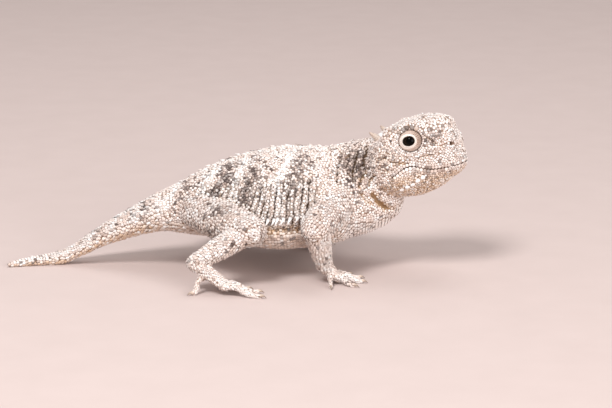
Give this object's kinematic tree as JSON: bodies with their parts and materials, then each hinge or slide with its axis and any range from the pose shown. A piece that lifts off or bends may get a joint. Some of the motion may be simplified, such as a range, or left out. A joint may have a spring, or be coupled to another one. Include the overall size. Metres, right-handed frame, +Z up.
{
  "type": "horned lizard",
  "caption": "Desert horned lizard at life size, standing still with its head raised and its tail tip on the floor.",
  "frame": {"origin": "middle of the footprint box, on the floor", "axes": "+X the way the animal faces, +Y its left, +Z up from the floor"},
  "size_m": [0.1142, 0.0648, 0.0394],
  "materials": {
    "skin": "dry and scaly, cream with grey-brown bands",
    "horn": "dull, fine-grained horn",
    "eye": "wet black gloss"
  },
  "bodies": {
    "root": {"torso": "skin", "tail_base": "skin", "tail_middle": "skin", "tail_tip": "skin", "neck": "skin", "head": "skin", "eye_left": "eye", "eye_right": "eye", "horn_left": "horn", "horn_right": "horn", "upper_arm_left": "skin", "upper_arm_right": "skin", "forearm_left": "skin", "forearm_right": "skin", "hand_left": "skin", "hand_right": "skin", "thigh_left": "skin", "thigh_right": "skin", "shin_left": "skin", "shin_right": "skin", "foot_left": "skin", "foot_right": "skin"}
  },
  "joints": []
}
